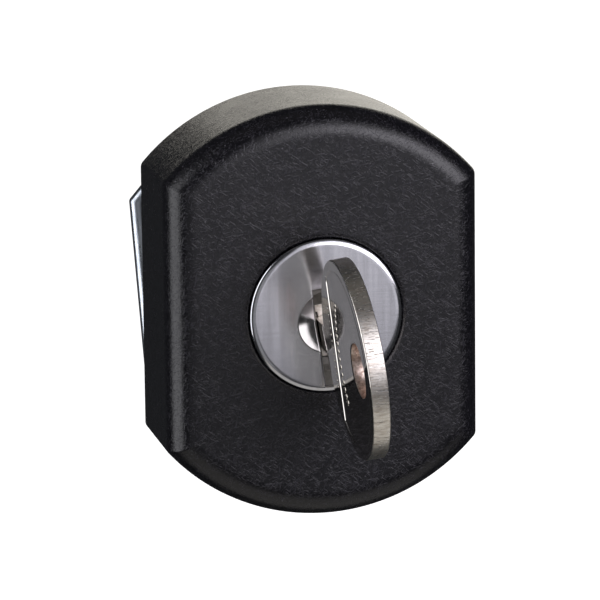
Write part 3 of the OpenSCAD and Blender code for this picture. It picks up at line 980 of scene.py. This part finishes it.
def plateRings(outer, inner, low, high, back, front, innerRoll=0.12, steps=5):
    # rings round a plate with a hole: outer and inner give a loop of (x, y) for an inset;
    # back and front are the width and depth of the roll on each edge
    turns = [math.pi / 2 * i / steps for i in range(steps + 1)]
    levels = [(back[0] * (1 - math.sin(a)), low + back[1] * (1 - math.cos(a))) for a in turns]
    levels += [(front[0] * (1 - math.sin(a)), high - front[1] * (1 - math.cos(a))) for a in reversed(turns)]
    rings = [atHeight(outer(inset), z) for inset, z in levels]
    rings += [atHeight(inner(-innerRoll), high), atHeight(inner(0), high - innerRoll)]
    return rings + [atHeight(inner(0), low + innerRoll), atHeight(inner(-innerRoll), low)]


def insetLoop(loop, distance):
    # moves every side of an anticlockwise loop inwards
    out = []
    count = len(loop)
    for i in range(count):
        before, here, after = Vector(loop[i - 1]), Vector(loop[i]), Vector(loop[(i + 1) % count])
        a, b = (here - before).normalized(), (after - here).normalized()
        na, nb = Vector((-a.y, a.x)), Vector((-b.y, b.x))
        bisector = (na + nb).normalized()
        reach = distance / max(bisector.dot(na), 0.3)
        moved = here + bisector * reach
        out.append((moved.x, moved.y))
    return out


def camLoop():
    # a round hub that widens along two tangents to the chamfered end on the left
    s = stack
    half, chamfer, reach, hub = s["camEnd"], s["camChamfer"], s["camReach"], s["camHub"]
    shoulder = (reach - chamfer - 4, half + chamfer)
    meet = math.atan2(shoulder[1], shoulder[0]) + math.acos(hub / math.hypot(*shoulder))
    corners = [(reach, half), (reach - chamfer, half + chamfer), shoulder]
    start = [(reach, y) for y in (0.0, half * 0.33, half * 0.66)]
    arc = [meet + (math.pi - meet) * i / 40 for i in range(41)]
    upper = start + corners + [polar(hub, a) for a in arc]
    lower = [(x, -y) for x, y in upper[1:-1]]
    return [(-x, y) for x, y in densify(upper + lower[::-1], 2.2)][::-1]


def roundOff(loop, radius, steps=4):
    # rounds the corners of a loop that turn sharply
    out = []
    count = len(loop)
    for i in range(count):
        before, here, after = Vector(loop[i - 1]), Vector(loop[i]), Vector(loop[(i + 1) % count])
        a, b = (before - here), (after - here)
        turn = math.pi - a.angle(b)
        if turn < math.radians(20):
            out.append((here.x, here.y))
            continue
        reach = min(radius * math.tan(turn / 2), a.length * 0.45, b.length * 0.45)
        p, q = here + a.normalized() * reach, here + b.normalized() * reach
        for k in range(steps + 1):
            t = k / steps
            point = p * (1 - t) ** 2 + here * 2 * t * (1 - t) + q * t ** 2
            out.append((point.x, point.y))
    return out


def makeCam():
    s = stack
    loop = camLoop()
    angles = [math.atan2(y, x) for x, y in roundOff(loop, s["camCorner"])]
    rings = plateRings(
        lambda inset: roundOff(insetLoop(loop, inset), s["camCorner"]),
        lambda inset: squareLoop(s["camHole"] - inset, angles),
        *s["cam"], s["camBack"], s["camFront"], steps=7)
    return ringPiece("cam_fine", rings, camTurn)


def makeStop():
    # a washer on the plug's square, with a lug that reaches forward into the barrel's notch
    s = stack
    count, steps = 128, 10
    rings = plateRings(
        lambda inset: circle(s["stopRadius"] - inset, count),
        lambda inset: squareLoop(s["stopHole"] - inset, evenAngles(count)),
        *s["stop"], s["stopRoll"], s["stopRoll"])
    plate = ringPiece("stop_washer_fine", rings, plugTurn)
    sweep = [math.radians(s["lugAt"] - s["lugHalf"] + 2 * s["lugHalf"] * i / steps) for i in range(steps + 1)]
    outline = [polar(s["stopRadius"], a) for a in sweep] + [polar(s["lugInner"], a) for a in reversed(sweep)]
    return add(plate, prismPiece("lug", outline, s["stop"][1] - 0.5, s["lugTo"], plugTurn))


def makeFlatWasher():
    s = stack
    (low, high), outer, inner, edge = s["washer"], s["washerRadius"], s["washerHole"], s["washerEdge"]
    profile = [(inner, low + edge), (inner + edge, low)]
    profile += [(outer - inset, low + rise) for inset, rise in s["washerRoll"]]
    profile += [(outer, high - edge), (outer - edge, high), (inner + edge, high), (inner, high - edge)]
    return lathePiece("cam_washer_fine", profile, 112, turn=plugTurn)


def makeSpringWasher():
    # one turn of square wire, its two ends a little apart in height
    s = stack
    low, high = s["spring"]
    r0, r1, offset, edge = s["washerHole"], s["springRadius"], s["springRise"], s["springEdge"]
    half = math.asin(s["springSlit"] / 2 / r1)
    steps = 72
    rings = []
    for i in range(steps + 1):
        a = math.pi / 2 + half + (fullTurn - 2 * half) * i / steps
        shift = offset * (0.5 - i / steps)
        z0, z1 = low + offset / 2 + shift, high - offset / 2 + shift
        section = [(r0 + edge, z0), (r1 - edge, z0), (r1, z0 + edge), (r1, z1 - edge)]
        section += [(r1 - edge, z1), (r0 + edge, z1), (r0, z1 - edge), (r0, z0 + edge)]
        rings.append([(*polar(r, a), z) for r, z in section])
    return ringPiece("cam_lock_washer_fine", rings, plugTurn, closed=False)


def makeCamScrew():
    s = stack
    low, high = s["head"]
    angles = evenAngles(96)
    sixth = math.pi / 3
    reach = [s["headHalf"] / math.cos((a + sixth / 2) % sixth - sixth / 2) for a in angles]
    crown = s["headHalf"] - 0.25

    def hexRing(shrink, z, slope=0.0):
        # slope lowers the corners past the round crown
        return [(*polar(r - shrink, a), z + slope * max(r - crown, 0.0)) for a, r in zip(angles, reach)]

    rings = [circleRing(crown * 0.72, low + 0.25), circleRing(crown * 0.8, low), circleRing(crown, low)]
    shank, end, washerRear = s["shank"], s["shankTo"], s["washer"][0]
    rings += [hexRing(0.0, low, 0.55), hexRing(0.0, high - 0.3), hexRing(0.12, high - 0.08)]
    rings += [circleRing(3.7, high), circleRing(shank, high)]
    rings += [circleRing(shank, end - 0.5), circleRing(1.7, end)]
    body = ringPiece("cam_screw_fine", rings, plugTurn, closed=False)
    length = end - 1.0 - washerRear
    thread = makeThread(
        [(0, 0, washerRear + 0.2)], shank - 0.06, s["thread"], length, s["threadPitch"], zincPlate, 32)
    return joinPieces(body, thread)


print("cam and its screw")
finishPiece(makeStop(), "plug", zincPlate, ["stop_washer"], 30)
finishPiece(makeCam(), "plug", zincPlate, ["cam"], 50)
finishPiece(makeFlatWasher(), "plug", zincPlate, ["cam_washer"], 50)
finishPiece(makeSpringWasher(), "plug", springSteel, ["cam_lock_washer"], 50)
finishPiece(makeCamScrew(), "plug", zincPlate, ["cam_screw"], 25)

# ---- wafer springs

waferSpring = {
    "count": 6, "firstZ": 13.4, "pitch": 2.1, "x": 4.45,
    "from": -3.83, "height": 4.71, "radius": 0.55, "wire": 0.12, "turns": 5.0,
}


def makeWaferSprings():
    w = waferSpring
    feet = [(w["x"], w["from"], w["firstZ"] - i * w["pitch"]) for i in range(w["count"])]
    return growPiece("wafer_springs_fine", pointMesh(feet, plugTurn), coils, {
        "Coil Radius": w["radius"] * mm, "Wire Radius": w["wire"] * mm, "Length": w["height"] * mm,
        "Turns": w["turns"], "Steps": 24, "Sides": 8, "Stand": (0, -plugTurn, 0), "Material": springSteel})


print("wafer springs")
springNodes = ["wafer_spring_%d" % (i + 1) for i in range(waferSpring["count"])]
finishPiece(makeWaferSprings(), "plug", springSteel, springNodes, 60)

# ---- key

key = {
    "x": 0.2,  # the key stands a little right of the axis
    "y": -2.82,
    "half": 1.32,  # half its thickness
    "bow": 14.05,
    "bowZ": 37.16,
    "hole": 3.8,
    "holeZ": 43.96,
    "field": 12.45,
    "fieldFrom": 30.1,
    "coin": 0.12,  # depth of the field
    "bead": 0.04,  # height of the fine bead round the field
    "roll": (0.2, 0.06),  # width and depth of the ring hole's rounded edge
    "edge": 0.24,
    "neck": 4.0,
    "shoulder": 17.0,
    "tip": -2.5,
    "blade": 7.8,
    "cuts": (1.0, 1.8, 1.4, 0.8, 1.8, 1.2),
    "cutFlat": 0.6,
    "tipSlope": 1.6,
    "grooves": ((-1, -1.0), (1, -4.4)),  # side and height of the two grooves
    "groove": (0.63, 0.8),  # their depth and half width
}


def fieldLoop(grow, lineSteps=36, arcSteps=132):
    # the coined field: a circle cut straight on the lock's side, let out by grow;
    # points are (z, y) from the ring hole's middle
    radius = key["field"] + grow
    line = key["fieldFrom"] - grow - key["bowZ"]
    lift = math.sqrt(radius ** 2 - line ** 2)
    start = math.atan2(lift, line)
    shift = key["bowZ"] - key["holeZ"]
    loop = [(shift + line, -lift + 2 * lift * i / lineSteps) for i in range(lineSteps)]
    for i in range(arcSteps):
        a = start - (2 * start) * i / arcSteps
        loop.append((shift + radius * math.cos(a), radius * math.sin(a)))
    return loop[::-1]


def rayCircle(angles, radius, offset):
    # where rays from the ring hole's middle meet a circle whose middle lies offset back along z
    loop = []
    for a in angles:
        c, s = math.cos(a), math.sin(a)
        reach = -offset * c + math.sqrt(radius ** 2 - (offset * s) ** 2)
        loop.append((reach * c, reach * s))
    return loop


def makeBow():
    # rings from the ring hole out over the field, its bead and the rim, the same on both sides
    k = key
    plain = fieldLoop(0.0)
    angles = [math.atan2(y, z) for z, y in plain]
    offset = k["holeZ"] - k["bowZ"]
    field, flat = k["half"] - k["coin"], k["half"] - k["bead"]
    rollWide, rollDeep = k["roll"]

    def hole(radius):
        return [polar(radius, a) for a in angles]

    def scaled(loop, share):
        near = hole(k["hole"] + rollWide)
        return [(p[0] + (q[0] - p[0]) * share, p[1] + (q[1] - p[1]) * share) for p, q in zip(near, loop)]

    foot = [(z * 0.99, y * 0.99) for z, y in plain]
    side = [(hole(k["hole"]), field - 0.2), (hole(k["hole"] + 0.05), field - rollDeep)]
    side += [(hole(k["hole"] + rollWide), field)]
    side += [(scaled(foot, share), field) for share in (0.04, 0.35, 0.7, 0.97, 1.0)]
    side += [(plain, field + 0.03)]
    crest = ((0.05, k["half"] - 0.03), (0.1, k["half"]), (0.15, k["half"]), (0.2, flat + 0.01), (0.26, flat))
    side += [(rayCrest(angles, grow), height) for grow, height in (*crest, (0.34, flat))]
    side += [(rayCircle(angles, k["bow"] - k["edge"] - 0.08, offset), flat)]
    for i in range(5):
        a = math.pi / 2 * i / 4
        inset = k["edge"] * (1 - math.sin(a))
        side.append((rayCircle(angles, k["bow"] - inset, offset), flat - k["edge"] * (1 - math.cos(a))))
    side += [(loop, -height) for loop, height in reversed(side)]
    rings = [[(k["x"] + height, k["y"] + y, k["holeZ"] + z) for z, y in loop] for loop, height in side]
    return ringPiece("key_fine", rings, plugTurn)


def rayCrest(angles, grow):
    # the field's outline let out by grow, met by the same rays
    k = key
    offset = k["holeZ"] - k["bowZ"]
    line = k["fieldFrom"] - grow - k["holeZ"]
    loop = []
    for (z, y), a in zip(rayCircle(angles, k["field"] + grow, offset), angles):
        if z < line:
            y, z = line * math.tan(a), line
        loop.append((z, y))
    return loop


def makeBlade():
    # its outline runs from the tip along the cuts to the shoulder, round the neck and back
    k = key
    half, neck, tip, flat = k["blade"] / 2, k["neck"] / 2, k["tipSlope"], k["cutFlat"]
    low, high = k["y"] - half, k["y"] + half
    firstZ, pitch = waferSpring["firstZ"], waferSpring["pitch"]
    gap = pitch - 2 * flat
    outline = [(k["tip"], high - tip), (k["tip"], low + tip), (k["tip"] + tip, low)]
    for i in range(len(k["cuts"]) - 1, -1, -1):
        z, depth = firstZ - i * pitch, k["cuts"][i]
        outline += [(z - flat, low + depth), (z + flat, low + depth)]
        nextDepth = k["cuts"][i - 1] if i else 0.0
        climb = (gap + nextDepth - depth) / 2  # two slopes at 45 degrees meet between the cuts
        if i and 0 < climb < gap:
            outline.append((z + flat + climb, min(low + depth, low + nextDepth + gap) - climb))
    outline.append((firstZ + flat + k["cuts"][0], low))
    neckTo = k["bowZ"] - k["bow"] + 1.2
    outline += [(k["shoulder"], low), (k["shoulder"], k["y"] - neck), (neckTo, k["y"] - neck)]
    outline += [(neckTo, k["y"] + neck), (k["shoulder"], k["y"] + neck), (k["shoulder"], high)]
    outline += [(k["tip"] + tip, high)]
    side = k["half"] - 0.02
    blade = prismPiece("blade", outline, k["x"] - side, k["x"] + side, plugTurn, upright=True)
    (deep, wide), (start, end) = k["groove"], (-30, k["shoulder"] + 0.3)
    for face, y in k["grooves"]:
        x = k["x"] + face * side
        cut(blade, boxPiece("groove", (x - deep, y - wide, start), (x + deep, y + wide, end), plugTurn))
    return softenEdges(blade, 0.1, 40)


def makeDots(points, size):
    return growPiece("dots", pointMesh(points, plugTurn), studs, {
        "Stud Size": [value * mm for value in size], "Stand": (0, -plugTurn, 0), "Material": nickel})


def makeGrip():
    # a curved and a straight row of small raised dots on each side
    k = key
    curved, straight = [], []
    for side in (-1, 1):
        x = k["x"] + side * (k["half"] - k["coin"])
        for i in range(-7, 8):
            a = math.pi + i * 0.12
            curved.append((x, k["y"] + 10.4 * math.sin(a) * 0.9, k["bowZ"] + 5.6 * math.cos(a)))
        for i in range(-6, 7):
            straight.append((k["x"] + side * k["half"], k["y"] + i * 0.95, k["fieldFrom"] - 1.7))
    return joinPieces(makeDots(curved, (0.16, 0.3, 0.42)), makeDots(straight, (0.1, 0.42, 0.26)))


def makeKey():
    # the ring hole's wall and the rim have finishes of their own
    k = key
    whole = makeBow()
    add(whole, makeBlade())
    joinPieces(whole, makeGrip())
    hub = toFrame((k["x"], k["y"], k["holeZ"]), plugTurn)
    middle = toFrame((k["x"], k["y"], k["bowZ"]), plugTurn)
    across = (toFrame((1, 0, 0), plugTurn) / mm).normalized()

    def farFrom(place, point):
        away = place - point
        return (away - across * away.dot(across)).length / mm

    for face in whole.data.polygons:
        face.material_index = 0
        if farFrom(face.center, hub) < k["hole"] + 0.03:
            face.material_index = 2
        elif farFrom(face.center, middle) > k["bow"] - 0.2 and abs(face.normal.dot(across)) < 0.75:
            face.material_index = 1
    return whole


print("key")
finishPiece(makeKey(), "key", [nickel, nickelRim, nickelHole], ["key"], 30)

# ---- the rest of the inside keeps its own shape and gets its finish

print("inside")
finishes = {"barrel_seal": blackRubber, "plug_seal": blackRubber, "lock_plug": plugMetalPaintedShade}
finishes.update({"wafer_%d" % (i + 1): waferBrass for i in range(waferSpring["count"])})
for name, material in finishes.items():
    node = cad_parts[name]
    node.data.materials.clear()
    node.data.materials.append(material)

# ---- floor, light and surroundings

studio = {"floorDrop": 60.0, "floorHalf": 8.0, "surround": 0.03}


def makeFloor():
    low = cadBox[0].z - studio["floorDrop"] * mm
    half = studio["floorHalf"]
    mesh = bmesh.new()
    bmesh.ops.create_grid(mesh, x_segments=4, y_segments=4, size=half)
    for vert in mesh.verts:
        vert.co.z = low
    floor = linkMesh("floor", mesh)
    material, tree, shader, place = newMaterial("floor paper", {"Roughness": 0.9})
    tone = cloud(tree, place, 3.0)
    paper = mixColour(tree, tone, (0.93, 0.93, 0.93), (0.96, 0.96, 0.96))
    tree.links.new(paper, shader.inputs["Base Color"])
    tree.links.new(paper, shader.inputs["Emission Color"])
    shader.inputs["Emission Strength"].default_value = 1.0
    floor.data.materials.append(material)
    floor.visible_glossy = floor.visible_diffuse = False


def softLight(name, azimuth, elevation, distance, spread, strength, colour=(1, 1, 1)):
    # stands at a bearing from the lock, in degrees from its front with right and up positive;
    # spread is how many degrees it covers each way, strength how bright its face looks
    size = [2 * distance * math.tan(math.radians(s / 2)) for s in spread]
    data = bpy.data.lights.new(name, "AREA")
    data.shape, data.size, data.size_y = "RECTANGLE", size[0], size[1]
    data.energy = strength * math.pi * size[0] * size[1]
    data.color = colour
    lamp = bpy.data.objects.new(name, data)
    bpy.context.scene.collection.objects.link(lamp)
    a, e = math.radians(azimuth), math.radians(elevation)
    away = Vector((math.sin(a) * math.cos(e), -math.cos(a) * math.cos(e), math.sin(e)))
    lamp.location = away * distance
    lamp.rotation_euler = (-away).to_track_quat("-Z", "Y").to_euler()
    lamp.visible_camera = False
    return lamp


# bearing, elevation, distance in metres, spread, strength and colour
lights = {
    "front": (20, 17.5, 0.45, (48, 61), 0.61, (0.95, 0.93, 1.0)),
    "fill": (20, 8, 0.50, (52, 76), 0.06, (0.95, 0.93, 1.0)),
    "side": (-17, -8, 0.60, (26, 50), 0.24, (0.97, 0.96, 1.0)),
    "high": (36, 19, 0.60, (52, 30), 3.0, (0.95, 0.92, 1.0)),
    "left": (-77, 8, 1.0, (46, 66), 2.3, (0.96, 0.96, 1.0)),
    "behind": (164, 6, 1.4, (36, 28), 1.3, (1.0, 0.955, 0.86)),
    "low": (10, -68, 0.8, (70, 56), 0.45, (1.0, 0.96, 0.9)),
    "over": (0, 88, 0.9, (60, 40), 0.07, (1.0, 0.93, 0.84)),
}


def makeStudio():
    scene = bpy.context.scene
    scene.view_settings.view_transform = "Standard"
    world = bpy.data.worlds.new("studio")
    scene.world = world
    world.use_nodes = True
    tree = world.node_tree
    seen = putNode(tree, "ShaderNodeBackground", values={"Color": (1, 1, 1, 1), "Strength": 1.0})
    dim = putNode(tree, "ShaderNodeBackground", values={
        "Color": (0.9, 0.95, 1, 1), "Strength": studio["surround"]})
    path = putNode(tree, "ShaderNodeLightPath")
    both = putNode(tree, "ShaderNodeMixShader", {"Fac": path.outputs["Is Camera Ray"]})
    tree.links.new(dim.outputs["Background"], both.inputs[1])
    tree.links.new(seen.outputs["Background"], both.inputs[2])
    out = tree.nodes.get("World Output") or tree.nodes.new("ShaderNodeOutputWorld")
    tree.links.new(both.outputs["Shader"], out.inputs["Surface"])
    for name, values in lights.items():
        softLight(name, *values)


print("studio")
placeCamera(housing["depth"])
makeFloor()
makeStudio()
